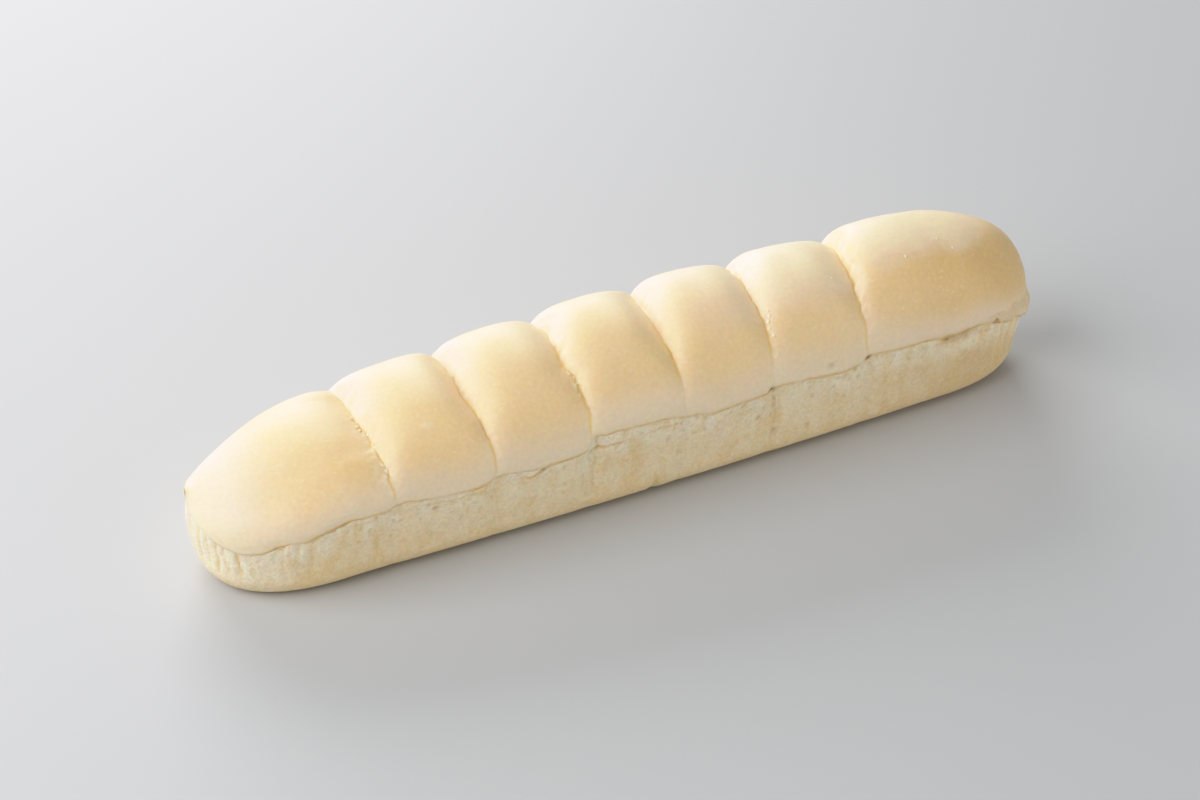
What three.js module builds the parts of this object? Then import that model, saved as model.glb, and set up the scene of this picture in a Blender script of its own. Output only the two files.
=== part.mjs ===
// Pull-apart bread: seven soft buns proved side by side and baked into one long loaf.
// A row of domes meets in creases and overhangs one continuous paler wall on a flat base.
// Millimetres, +Z up. The loaf lies along X with its base on z = 0.

import * as THREE from 'three';
import { mergeVertices } from 'three/addons/utils/BufferGeometryUtils.js';

// The whole loaf
const BUN_LENGTHS = [63, 38, 37, 37, 37, 39, 79]; // crease to crease, from the -X end
const WIDTH = 65; // across the skirts of the domes, where they are widest
const WIDEST_AT = -80; // station of that width along X
const NARROWING = 0.11; // share of the width lost half a length away from it
const HEIGHT = 67; // base to crown of the tallest middle bun
const TALLEST_AT = 60; // station of that height along X
const LOWERING = 0.179; // share of the height lost half a length away from it
const LOWERING_POWER = 2.37; // how late it is lost
const SWELL = 2.2; // height that the bun at the +X end gains on its -X shoulder
const SWELL_AT = 110; // station of that swell along X
const SWELL_SPREAD = 17;

// The straight sides and the two rounded ends. An end's plan is an ellipse at power 2 and squarer above.
// The skirt hangs past the top of the wall by overhang and past its foot by inset. At an end it
// also droops, and its edge stands out as a lip.
const SIDE = { inset: 2.8, overhang: 1.2 };
const LEFT_END = { inset: 0.8, overhang: 0.2, length: 53, power: 2.4, droop: 8, lip: 1.2 };
const RIGHT_END = { inset: 3.4, overhang: 1.8, length: 39, power: 2.2, droop: 7, lip: 1.2 };

// The domes and the creases between them
const DOME_POWER = 2.3; // roundness of the cross-section
const CREASES_AT_CROWN = [11.5, 12, 10.4, 12, 9.8, 10.2]; // depths
const CREASES_AT_FRONT = [0.78, 0.85, 0.75, 0.75, 0.7, 0.7]; // share of that depth which each keeps in front
const FRONT_START = 0; // stations across Y between which the creases deepen
const FRONT_STOP = 22;
const CREASE_AT_SKIRT = 0.7; // depth
const CREASE_FADE = 2.2; // how late a crease deepens on its way up from the skirt
const CREASE_INWARD = 0.7; // share of its depth that a crease also draws in from the side
const LEFT_REACH = 30; // length of the -X bun that its one crease draws down
const RIGHT_REACH = 14; // the same of the +X bun
const SHOULDER_AT_SKIRT = 5.5; // how late a bun starts to fall towards its creases, low on the dome
const LEFT_SHOULDER = 3.3; // the same at the crown, towards -X
const RIGHT_SHOULDER = 2.2; // and towards +X
const SHOULDER_START = 0.52; // radians up the dome between which the one passes into the other
const SHOULDER_STOP = 1.08;
const SHOULDER_ROOT = 1.35; // how steeply a bun then falls
const CREASE_ROUNDING = 0.18; // share of a crease's depth that is its round bottom
const CREASE_SLANTS = [2, 0.3, 2, 6.5, 8.3, 7.5]; // drift of each crease towards +X at the back
const WANDER = 0.7; // swaying of a crease on its way over the loaf
const WANDER_WAVE = 9; // height over which the sway turns by a radian
const WANDER_TURN = 1.4; // radians by which each crease's sway differs from the last one's
const DRIFT_REACH = 12; // length of loaf that moves along with a crease

// The skirt, where the domes end, and the tear under it
const SKIRT_HEIGHT = 33.2; // above the base, at the middle of the loaf
const SKIRT_RISE = 2; // gained from the middle to the +X end
const SKIRT_STEP = 2.6; // each bun's skirt falls this far from its -X crease to its +X one
const DROOP_START = 0.1; // shares of an end's length between which it droops
const DROOP_STOP = 0.8;
const LIP_FADE = 4; // how fast a lip dies away up the dome and round to the sides
const TEAR_HEIGHT = 1.8; // gap between skirt and wall
const TEAR_DEPTH = 1.4; // of that gap, behind the face of the wall

// The wall and the base
const CORNER = 10.5; // radius between wall and base
const GROOVE_DEPTH = 1; // of the wall below each crease
const GROOVE_WIDTH = 3;

// How finely the surface is divided
const STATION_STEP = 4; // along the loaf
const STATION_CROWDING = 0.8; // towards the creases, 0 is even
const END_STEPS = 18; // round each end
const CORNER_STEPS = 4;
const WALL_STEPS = 4;
const DOME_STEPS = 17;
const WELD = 1e-3; // points closer than this are one point

const LENGTH = BUN_LENGTHS.reduce((sum, length) => sum + length, 0);
const HALF_LENGTH = LENGTH / 2;
const SPINE_LEFT = LEFT_END.length - HALF_LENGTH;
const SPINE_RIGHT = HALF_LENGTH - RIGHT_END.length;
const QUARTER = Math.PI / 2;
const { clamp, lerp, smoothstep } = THREE.MathUtils;

const creases = [];
for (const length of BUN_LENGTHS.slice(0, -1)) {
  creases.push((creases.at(-1) ?? -HALF_LENGTH) + length);
}

function powerOf(value, power) {
  return Math.sign(value) * Math.abs(value) ** (2 / power);
}

function halfWidth(x) {
  return (WIDTH / 2) * (1 - NARROWING * ((x - WIDEST_AT) / HALF_LENGTH) ** 2);
}

function crownHeight(x) {
  const lowered = LOWERING * Math.abs((x - TALLEST_AT) / HALF_LENGTH) ** LOWERING_POWER;
  const swell = SWELL * Math.exp(-(((x - SWELL_AT) / SWELL_SPREAD) ** 2));
  return HEIGHT * (1 - lowered) + swell;
}

// Place within a bun: -1 at its -X crease, 1 at its +X crease, 0 in the plain part of an end bun.
function placeInBun(x) {
  const before = creases.findLast((crease) => crease <= x);
  const after = creases.find((crease) => crease > x);
  if (before === undefined) return Math.max(0, 1 - (after - x) / LEFT_REACH);
  if (after === undefined) return Math.min(0, (x - before) / RIGHT_REACH - 1);
  return (2 * (x - before)) / (after - before) - 1;
}

// Fullness of a bun at an angle up its dome: 1 on its top, 0 in its creases.
function fullness(x, angle) {
  const place = placeInBun(x);
  const atCrown = place < 0 ? LEFT_SHOULDER : RIGHT_SHOULDER;
  const shoulder = lerp(SHOULDER_AT_SKIRT, atCrown, smoothstep(angle, SHOULDER_START, SHOULDER_STOP));
  const sharp = (1 - Math.abs(place) ** shoulder) ** (1 / SHOULDER_ROOT);
  const top = Math.hypot(1, CREASE_ROUNDING) - CREASE_ROUNDING;
  return (Math.hypot(sharp, CREASE_ROUNDING) - CREASE_ROUNDING) / top;
}

// How far the surface of a dome is drawn down at x and y by the crease nearest to x.
function creaseDip(x, y, angle) {
  const distances = creases.map((crease) => Math.abs(x - crease));
  const nearest = distances.indexOf(Math.min(...distances));
  const share = lerp(CREASES_AT_FRONT[nearest], 1, smoothstep(y, FRONT_START, FRONT_STOP));
  const depth = lerp(CREASE_AT_SKIRT, CREASES_AT_CROWN[nearest] * share, Math.sin(angle) ** CREASE_FADE);
  return depth * (1 - fullness(x, angle));
}

// How far x lies into each rounded end: 0 on the straight sides, 1 at the tip.
function intoEnds(x) {
  const left = clamp((SPINE_LEFT - x) / LEFT_END.length, 0, 1);
  const right = clamp((x - SPINE_RIGHT) / RIGHT_END.length, 0, 1);
  return { left, right };
}

// One of the sizes that the sides and the ends share, passing from one to the other.
function passing(size, { left, right }) {
  return lerp(lerp(SIDE[size], LEFT_END[size], left), RIGHT_END[size], right);
}

function skirtHeight(x) {
  const { left, right } = intoEnds(x);
  const droop =
    LEFT_END.droop * smoothstep(left, DROOP_START, DROOP_STOP) +
    RIGHT_END.droop * smoothstep(right, DROOP_START, DROOP_STOP);
  const step = creases.includes(x) ? 0 : SKIRT_STEP * placeInBun(x);
  return SKIRT_HEIGHT + (SKIRT_RISE * x) / HALF_LENGTH - step / 2 - droop;
}

// Sum over the creases of a weighted bell that is 1 on the crease and fades over the given length.
function nearCreases(x, reach, weight) {
  let sum = 0;
  creases.forEach((crease, i) => {
    sum += weight(i) * Math.exp(-(((x - crease) / reach) ** 2));
  });
  return sum;
}

// Sideways move of a point of the loaf, which lets its creases slant and sway.
function drift(x, y, z) {
  const towardsBack = ((1 + y / halfWidth(x)) / 2) ** 2;
  return nearCreases(x, DRIFT_REACH, (i) => {
    return CREASE_SLANTS[i] * towardsBack + WANDER * Math.sin(z / WANDER_WAVE + WANDER_TURN * i);
  });
}

// Stations along the spine, closer together towards the creases.
function spineStations() {
  const bounds = [SPINE_LEFT, ...creases, SPINE_RIGHT];
  const stations = [];
  for (let bun = 0; bun < BUN_LENGTHS.length; bun++) {
    const length = bounds[bun + 1] - bounds[bun];
    const steps = Math.ceil(length / STATION_STEP);
    for (let i = 0; i < steps; i++) {
      const even = i / steps;
      const crowded = even - (STATION_CROWDING * Math.sin(4 * QUARTER * even)) / (4 * QUARTER);
      stations.push(bounds[bun] + length * crowded);
    }
  }
  return [...stations, SPINE_RIGHT];
}

// One rounded end of the plan, from side to side: facing is 1 for the +X end, -1 for the -X end.
function endOutline(spine, end, facing) {
  const points = [];
  for (let i = 1; i < END_STEPS; i++) {
    const angle = QUARTER * ((2 * i) / END_STEPS - 1);
    const x = spine + facing * end.length * powerOf(Math.cos(angle), end.power);
    points.push({ spine, x, y: facing * halfWidth(x) * powerOf(Math.sin(angle), end.power) });
  }
  return points;
}

// Plan of the skirt, once round: front side, +X end, back side, -X end.
function skirtOutline() {
  const stations = spineStations();
  const front = stations.map((x) => ({ spine: x, x, y: -halfWidth(x) }));
  const back = stations.map((x) => ({ spine: x, x, y: halfWidth(x) })).reverse();
  const right = endOutline(SPINE_RIGHT, RIGHT_END, 1);
  const left = endOutline(SPINE_LEFT, LEFT_END, -1);
  return [...front, ...right, ...back, ...left];
}

// Section of the loaf through one point of the plan: along the base to its edge, round the corner,
// up the wall, into the tear, out under the skirt and over the dome to the spine.
function section({ spine, x, y }) {
  const reach = Math.hypot(x - spine, y);
  const ends = intoEnds(x);
  const foot = reach - passing('inset', ends);
  const brow = reach - passing('overhang', ends);
  const lip = LEFT_END.lip * ends.left ** LIP_FADE + RIGHT_END.lip * ends.right ** LIP_FADE;
  const skirt = skirtHeight(x);
  const groove = nearCreases(x, GROOVE_WIDTH, () => GROOVE_DEPTH);
  const points = [];

  function add(radius, z) {
    const px = spine + ((x - spine) / reach) * radius;
    const py = (y / reach) * radius;
    points.push(new THREE.Vector3(px + drift(px, py, z), py, z));
  }

  add(0, 0);
  for (let i = 0; i <= CORNER_STEPS; i++) {
    const angle = (QUARTER * i) / CORNER_STEPS;
    const height = CORNER * (1 - Math.cos(angle));
    add(foot - CORNER * (1 - Math.sin(angle)) - (groove * height) / CORNER, height);
  }
  const wallTop = skirt - TEAR_HEIGHT;
  for (let i = 1; i <= WALL_STEPS; i++) {
    const t = i / WALL_STEPS;
    add(lerp(foot, brow, t) - groove, lerp(CORNER, wallTop, t));
  }
  add(brow - groove - TEAR_DEPTH, skirt - TEAR_HEIGHT / 2);
  for (let i = 0; i <= DOME_STEPS; i++) {
    const angle = (QUARTER * i) / DOME_STEPS;
    const out = reach * powerOf(Math.cos(angle), DOME_POWER);
    const px = x + (spine - x) * (1 - out / reach);
    const dip = creaseDip(px, (y * out) / reach, angle);
    const inward = (CREASE_INWARD * dip) / (WIDTH / 2);
    const edge = lip * Math.cos(angle) ** LIP_FADE;
    const height = lerp(skirt, crownHeight(px) - dip, powerOf(Math.sin(angle), DOME_POWER));
    add(i === DOME_STEPS ? 0 : out * (1 - inward) + edge, height);
  }
  return points;
}

// Skin of the loaf over all its sections. Triangles that collapse on the spine are left out.
function loafGeometry() {
  const sections = skirtOutline().map(section);
  const rows = sections[0].length;
  const geometry = new THREE.BufferGeometry().setFromPoints(sections.flat());
  const triangles = [];
  for (let j = 0; j < sections.length; j++) {
    const here = j * rows;
    const next = ((j + 1) % sections.length) * rows;
    for (let i = 0; i + 1 < rows; i++) {
      triangles.push(here + i, next + i, next + i + 1);
      triangles.push(here + i, next + i + 1, here + i + 1);
    }
  }
  geometry.setIndex(triangles);
  const welded = mergeVertices(geometry, WELD);
  const index = welded.index.array;
  const kept = [];
  for (let t = 0; t < index.length; t += 3) {
    const [a, b, c] = index.slice(t, t + 3);
    if (a !== b && b !== c && c !== a) kept.push(a, b, c);
  }
  welded.setIndex(kept);
  welded.computeVertexNormals();
  return welded;
}

const crust = new THREE.MeshStandardMaterial({ color: '#e6cb9f', roughness: 0.7, metalness: 0 });

const loaf = new THREE.Mesh(loafGeometry(), crust);
loaf.name = 'loaf';

const bread = new THREE.Group();
bread.add(loaf);

export default bread;
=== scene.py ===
# %% [markdown]
# # A pull-apart bread
# Balls of soft dough are set in one row, prove until they touch, and bake into a single pale loaf of
# seven buns. This lesson builds its skin from a few measured sizes, adds the small accidents of baking,
# and finishes it as bread. The frame gives the body it belongs to and the box that it has to fill.

# %% Load the frame
import math

import bmesh
import bpy
import numpy as np
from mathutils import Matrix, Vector, noise


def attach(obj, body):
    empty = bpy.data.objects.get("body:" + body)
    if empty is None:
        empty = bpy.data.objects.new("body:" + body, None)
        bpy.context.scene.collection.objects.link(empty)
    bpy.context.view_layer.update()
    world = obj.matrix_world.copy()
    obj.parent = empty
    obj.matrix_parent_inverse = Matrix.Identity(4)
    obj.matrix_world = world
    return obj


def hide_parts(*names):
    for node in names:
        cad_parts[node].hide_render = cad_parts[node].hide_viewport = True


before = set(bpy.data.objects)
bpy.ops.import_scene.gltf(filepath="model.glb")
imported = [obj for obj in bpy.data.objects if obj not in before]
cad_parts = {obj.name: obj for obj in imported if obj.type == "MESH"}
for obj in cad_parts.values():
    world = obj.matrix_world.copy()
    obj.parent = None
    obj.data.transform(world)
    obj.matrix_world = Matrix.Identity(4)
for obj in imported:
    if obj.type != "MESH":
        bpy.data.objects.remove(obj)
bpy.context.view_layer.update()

MM = 0.001  # the frame is in metres, and the bread's own sizes below are in millimetres

# %% [markdown]
# ## The camera
# The bread is seen from its left end and from well above, through a long lens, so its far end hardly
# shrinks. A camera could be placed by hand until the picture looks right, but here the angles and the
# distance are known, so it is placed on a sphere round the bread and turned towards a point on it.

# %% Place the camera
AZIMUTH, ELEVATION = math.radians(-25.8), math.radians(36)  # of the camera, round the bread and up
CAMERA_DISTANCE = 1.3
CAMERA_TARGET = Vector((0, 0, 25 * MM))
AIM_LEFT = 8.1 * MM  # the picture's middle lies this far to the left of the target
LENS, SENSOR_WIDTH = 107.6, 36


def add_object(name, data):
    made = bpy.data.objects.new(name, data)
    bpy.context.collection.objects.link(made)
    return made


towards_camera = Vector((
    math.sin(AZIMUTH) * math.cos(ELEVATION),
    -math.cos(AZIMUTH) * math.cos(ELEVATION),
    math.sin(ELEVATION),
))
screen_right = Vector((math.cos(AZIMUTH), math.sin(AZIMUTH), 0))
camera = add_object("camera", bpy.data.cameras.new("camera"))
camera.data.lens = LENS
camera.data.sensor_width = SENSOR_WIDTH
camera.location = CAMERA_TARGET + towards_camera * CAMERA_DISTANCE
aim = CAMERA_TARGET - screen_right * AIM_LEFT
camera.rotation_euler = (aim - camera.location).to_track_quat("-Z", "Y").to_euler()
bpy.context.scene.camera = camera
print("camera at", [round(value, 3) for value in camera.location])

# %% [markdown]
# ## Floor and light
# A plain pale table carries the bread. A broad window on the left and another behind flood the left flanks
# and the tops of the buns, leave the near wall in gentle shade and lay a soft shadow to the right and in
# front. A white card low on the right opens that shade and hardly reaches the table. An area light is
# the simple way to such soft edges, because a panel's size is the softness of its shadow.

# %% Set up the floor and the lights
FLOOR_SIZE = 6.0
FLOOR_GREY, FLOOR_ROUGHNESS = (0.54, 0.547, 0.556), 0.6
PANELS = (  # name, metres to the left, back and up in the picture, width, height, watts
    ("window_light", 1.1, -0.52, 1.03, 1.6, 1.2, 24),
    ("back_window", 0.56, 1.4, 0.55, 1.2, 1.0, 22.5),
    ("white_card", -1.33, -0.77, 0.24, 1.4, 0.42, 6),
)
ROOM_LIGHT = 0.29  # from all sides, as from pale walls

screen_back = Vector((0, 0, 1)).cross(screen_right)


def plain_material(name, colour, roughness):
    material = bpy.data.materials.new(name)
    material.use_nodes = True
    shader = material.node_tree.nodes["Principled BSDF"]
    shader.inputs["Base Color"].default_value = (*colour, 1)
    shader.inputs["Roughness"].default_value = roughness
    return material


def add_mesh(name, points, faces):
    mesh = bpy.data.meshes.new(name)
    mesh.from_pydata(points, [], faces)
    mesh.shade_smooth()
    return add_object(name, mesh)


def soft_panel(name, left, back, up, width, tall, watts):
    """A panel of light, placed as seen in the picture and turned to the bread."""
    panel = add_object(name, bpy.data.lights.new(name, "AREA"))
    panel.data.shape = "RECTANGLE"
    panel.data.size, panel.data.size_y = width, tall
    panel.data.energy = watts
    panel.location = -screen_right * left + screen_back * back + Vector((0, 0, up))
    panel.rotation_euler = (-panel.location).to_track_quat("-Z", "Y").to_euler()


half_floor = FLOOR_SIZE / 2
floor_corners = [(x * half_floor, y * half_floor, 0) for x, y in ((-1, -1), (1, -1), (1, 1), (-1, 1))]
floor = add_mesh("floor", floor_corners, [(0, 1, 2, 3)])
floor.data.materials.append(plain_material("pale_table", FLOOR_GREY, FLOOR_ROUGHNESS))

for panel in PANELS:
    soft_panel(*panel)
world = bpy.data.worlds.new("studio")
world.use_nodes = True
background = world.node_tree.nodes["Background"]
background.inputs["Color"].default_value = (1, 1, 1, 1)
background.inputs["Strength"].default_value = ROOM_LIGHT
bpy.context.scene.world = world
print("a floor and", len(PANELS), "panels of light")

# %% [markdown]
# ## The film
# A camera doesn't clip bright bread to flat yellow. Its film rolls off towards white, so the picture is
# shown through a curve that is straight up to mid tones and then bends over. Red and green have curves of
# their own before it: near white, red comes early and green late, which keeps the highlights warm.

# %% Roll the highlights off
FILM_LATITUDE = 2.0  # the brightest light that still shows as less than white
FILM_CURVE = ((0.6, 0.6), (0.8, 0.78), (1.0, 0.895), (1.2, 0.95), (1.5, 0.982))  # light in, tone out
EARLY_RED = ((0.6, 0.6), (0.85, 0.85), (1.05, 1.06), (1.4, 1.7), (1.6, 1.9))  # light in, light passed on
LATE_GREEN = ((0.5, 0.5), (0.7, 0.695), (0.85, 0.838), (1.0, 0.965), (1.2, 1.095), (1.5, 1.36))
RED, GREEN, ALL_CHANNELS = 0, 1, 3  # places of the curves in Blender's list

view = bpy.context.scene.view_settings
view.view_transform = "Standard"
view.use_curve_mapping = True
film = view.curve_mapping
film.white_level = (FILM_LATITUDE, FILM_LATITUDE, FILM_LATITUDE)
film.extend = "HORIZONTAL"
for light, tone in FILM_CURVE:
    film.curves[ALL_CHANNELS].points.new(light / FILM_LATITUDE, tone)
for channel, curve in ((RED, EARLY_RED), (GREEN, LATE_GREEN)):
    for light, passed in curve:
        film.curves[channel].points.new(light / FILM_LATITUDE, passed / FILM_LATITUDE)
film.update()
print("film curve with", len(film.curves[ALL_CHANNELS].points), "points")

# %% [markdown]
# ## The measured form
# The whole loaf follows from few sizes: how long each bun is, how wide and tall the loaf is, how its two
# ends are rounded, and how deep the creases are. They are the same sizes as in the solid that this skin
# replaces, so the two agree. Sculpting would be another way, but a formula can be made as fine as wished
# and keeps each crease exactly on a line of the mesh.

# %% Sizes of the loaf
BUN_LENGTHS = np.array([63, 38, 37, 37, 37, 39, 79])  # crease to crease, from the left end
WIDTH = 65  # across the skirts of the domes
WIDEST_AT = -80
NARROWING = 0.11
HEIGHT = 67
TALLEST_AT = 60
LOWERING, LOWERING_POWER = 0.179, 2.37
SWELL, SWELL_AT, SWELL_SPREAD = 2.2, 110, 17  # the last bun's left shoulder stands higher
SIDE = {"inset": 2.8, "overhang": 1.2}
LEFT_END = {"inset": 0.8, "overhang": 0.2, "length": 53, "power": 2.4, "droop": 8, "lip": 1.2}
RIGHT_END = {"inset": 3.4, "overhang": 1.8, "length": 39, "power": 2.2, "droop": 7, "lip": 1.2}
DOME_POWER = 2.3
CREASES_AT_CROWN = np.array([11.5, 12, 10.4, 12, 9.8, 10.2])
CREASES_AT_FRONT = np.array([0.78, 0.85, 0.75, 0.75, 0.7, 0.7])  # share of its depth kept at the front
FRONT_START, FRONT_STOP = 0, 22  # across the loaf, where the creases deepen
CREASE_AT_SKIRT = 0.7
CREASE_FADE = 2.2
LEFT_REACH, RIGHT_REACH = 30, 14  # lengths of the end buns that their one crease draws down
CREASE_INWARD = 0.7
LEFT_SHOULDER, RIGHT_SHOULDER = 3.3, 2.2  # how late a bun falls towards its two creases, at the crown
SHOULDER_AT_SKIRT = 5.5
SHOULDER_ROOT = 1.35
CREASE_ROUNDING = 0.18  # share of a crease's depth that is a round bottom
CREASE_SLANTS = np.array([2, 0.3, 2, 6.5, 8.3, 7.5])

half_length = BUN_LENGTHS.sum() / 2
creases = np.cumsum(BUN_LENGTHS)[:-1] - half_length
spine_left = LEFT_END["length"] - half_length
spine_right = half_length - RIGHT_END["length"]
print("creases at", creases.round(1))


# %% Shape of the plan and of the crowns
def blend(low, high, share):
    return low + (high - low) * share


def ease(value, start, stop):
    """0 before start, 1 after stop, and a smooth passage between."""
    share = np.clip((value - start) / (stop - start), 0, 1)
    return share * share * (3 - 2 * share)


def bell(distance, width):
    """1 at no distance, falling off smoothly on both sides."""
    return np.exp(-((distance / width) ** 2))


def squarish(value, power):
    return np.sign(value) * np.abs(value) ** (2 / power)


def half_width(x):
    return WIDTH / 2 * (1 - NARROWING * ((x - WIDEST_AT) / half_length) ** 2)


def crown_height(x):
    lowered = LOWERING * np.abs((x - TALLEST_AT) / half_length) ** LOWERING_POWER
    return HEIGHT * (1 - lowered) + SWELL * bell(x - SWELL_AT, SWELL_SPREAD)


def place_in_bun(x):
    """-1 at a bun's left crease, 1 at its right one, 0 in the plain part of an end bun."""
    bounds = np.concatenate([[creases[0] - 2 * LEFT_REACH], creases, [creases[-1] + 2 * RIGHT_REACH]])
    last = len(bounds) - 2
    bun = np.clip(np.searchsorted(bounds, x, side="right") - 1, 0, last)
    place = 2 * (x - bounds[bun]) / (bounds[bun + 1] - bounds[bun]) - 1
    place = np.where(bun == 0, np.maximum(place, 0), place)
    return np.where(bun == last, np.minimum(place, 0), place)


def fullness(x, crown_share):
    """1 on the top of a bun, 0 in its creases; crown_share is 0 at the skirt and 1 at the crown."""
    place = place_in_bun(x)
    shoulder = blend(SHOULDER_AT_SKIRT, np.where(place < 0, LEFT_SHOULDER, RIGHT_SHOULDER), crown_share)
    sharp = (1 - np.abs(place) ** shoulder) ** (1 / SHOULDER_ROOT)
    top = math.hypot(1, CREASE_ROUNDING) - CREASE_ROUNDING
    return (np.hypot(sharp, CREASE_ROUNDING) - CREASE_ROUNDING) / top


def closest_crease(x):
    """Number of the crease that is closest."""
    return np.abs(x[..., None] - creases).argmin(axis=-1)


print("half widths", half_width(creases).round(1))

# %% [markdown]
# ## Columns round the plan
# The skin is a grid. Its columns stand round the plan of the loaf: along the front, round the right end,
# back along the far side and round the left end. They crowd towards the creases, where the skin turns
# sharply, and they are even along the curve of the ends.

# %% Stand the columns
COLUMN_STEP = 0.8
CROWDING = 0.5
OUTLINE_STEPS = 2001  # for measuring the curve of an end


def spine_stations():
    bounds = np.concatenate([[spine_left], creases, [spine_right]])
    stations = []
    for start, stop in zip(bounds[:-1], bounds[1:]):
        even = np.linspace(0, 1, round((stop - start) / COLUMN_STEP), endpoint=False)
        crowded = even - CROWDING * np.sin(2 * np.pi * even) / (2 * np.pi)
        stations.append(start + (stop - start) * crowded)
    return np.concatenate(stations + [[spine_right]])


def path_lengths(x, y):
    """How far each point of a path lies from the path's start."""
    return np.concatenate([[0], np.cumsum(np.hypot(np.diff(x), np.diff(y)))])


def end_outline(spine, end, facing):
    """Points at even steps round one end, without the two that meet the sides."""
    angle = np.linspace(-np.pi / 2, np.pi / 2, OUTLINE_STEPS)
    x = spine + facing * end["length"] * squarish(np.cos(angle), end["power"])
    y = facing * half_width(x) * squarish(np.sin(angle), end["power"])
    travelled = path_lengths(x, y)
    steps = np.linspace(0, travelled[-1], round(travelled[-1] / COLUMN_STEP))[1:-1]
    return np.interp(steps, travelled, x), np.interp(steps, travelled, y)


stations = spine_stations()
right_x, right_y = end_outline(spine_right, RIGHT_END, 1)
left_x, left_y = end_outline(spine_left, LEFT_END, -1)
side_width = half_width(stations)
plan_x = np.concatenate([stations, right_x, stations[::-1], left_x])
plan_y = np.concatenate([-side_width, right_y, side_width[::-1], left_y])
spine_x = np.concatenate([
    stations, np.full(len(right_x), spine_right), stations[::-1], np.full(len(left_x), spine_left),
])
reach = np.hypot(plan_x - spine_x, plan_y)
into_left = np.clip((spine_left - plan_x) / LEFT_END["length"], 0, 1)
into_right = np.clip((plan_x - spine_right) / RIGHT_END["length"], 0, 1)
column_count = len(plan_x)
print(column_count, "columns")

# %% [markdown]
# ## The skirt and the tear
# A dome's skin is dry while the crumb inside still swells, so it breaks along the side: the dome ends in
# a skirt that hangs a little over the paler wall. The break isn't even. It opens and closes, in places a
# second split runs below it, each bun's skirt runs downhill to its right crease, and both ends droop. On
# the near side, which the picture shows, the larger rises and gaps are written down from left to right.
# On the far side smooth noise makes them up.

# %% Draw the skirt line
SKIRT_HEIGHT, SKIRT_RISE = 33.2, 2  # at the middle, and the rise from there to the right end
SKIRT_STEP, STEP_BLUR = 2.6, 2.4
DROOP = (0.1, 0.8)  # sets in and is full at these shares of an end
SEED_STEP = np.array([7.3, 3.1, 5.7])  # each seed reads the noise this much further on
FAR_RISES = (1.6, 17, 3)  # how far the noise swings, the width of one swell, and its seed
RIPPLE = (0.4, 4, 4)
RAGGED = (1.4, 2.5, 41)  # the skirt's edge round the right end
TIP_RISE = 6  # at the left tip the skirt's far half droops no longer
NEAR_RISES = (  # x, height above the plain skirt
    (-166, 7), (-164.5, 5), (-163, 3), (-160, 0.3), (-156, -1.3), (-149, -1.2), (-145, 0.5), (-141, 0.2),
    (-134, -1.6), (-127, -1.2), (-119, 0.4), (-103, 0.4), (-94, -0.3), (-80, -1.7), (-71, -1.2), (-64, 0),
    (-50, -1.8), (-35, -0.4), (-28.5, 0.4), (-26, 5), (-21.6, 3.7), (-16, 4.1), (-9, 4.2), (0, 4.1),
    (6, 3.7), (9.5, 1.2), (20, -1.4), (34, 0.5), (44, 1.4), (57, 0.8), (75, -0.3), (87, 1.6), (102, 1.2),
    (111, 1.0), (121, -1.2), (142, 0.6), (148, -0.6), (153, 0.9), (157, -2.2), (161, -3.2), (166, -3.5),
)


def swells(points, swing, width, seed):
    """Smooth noise at each point, from about -swing to swing."""
    scaled = np.asarray(points, float) / width + SEED_STEP * seed
    return swing * np.array([noise.noise(point) for point in scaled.tolist()])


def passing(size):
    """A size that the sides and the two ends share, passing from one to the other."""
    return blend(blend(SIDE[size], LEFT_END[size], into_left), RIGHT_END[size], into_right)


def along_near_side(pairs):
    """Values given along the near side, read at every column."""
    return np.interp(plan_x, *zip(*pairs))


plan_points = np.column_stack([plan_x, plan_y, np.zeros(column_count)])
plan_crease = np.abs(plan_x - creases[closest_crease(plan_x)])
near_side = ease(-plan_y, -20, 4)
skirt_step = SKIRT_STEP / 2 * place_in_bun(plan_x) * (1 - bell(plan_crease, STEP_BLUR))
droop = LEFT_END["droop"] * ease(into_left, *DROOP) + RIGHT_END["droop"] * ease(into_right, *DROOP)
plain_skirt = SKIRT_HEIGHT + SKIRT_RISE * plan_x / half_length - skirt_step - droop
far_rises = swells(plan_points, *FAR_RISES)
skirt_ripple = blend(far_rises, along_near_side(NEAR_RISES), near_side) + swells(plan_points, *RIPPLE)
skirt_ripple += swells(plan_points, *RAGGED) * ease(into_right, 0.2, 0.6)
skirt_ripple += TIP_RISE * ease(plan_y, -1, 10) * (1 - ease(plan_x, -160, -140))
skirt = plain_skirt + skirt_ripple
print("skirt between", skirt.min().round(1), "and", skirt.max().round(1))

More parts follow.
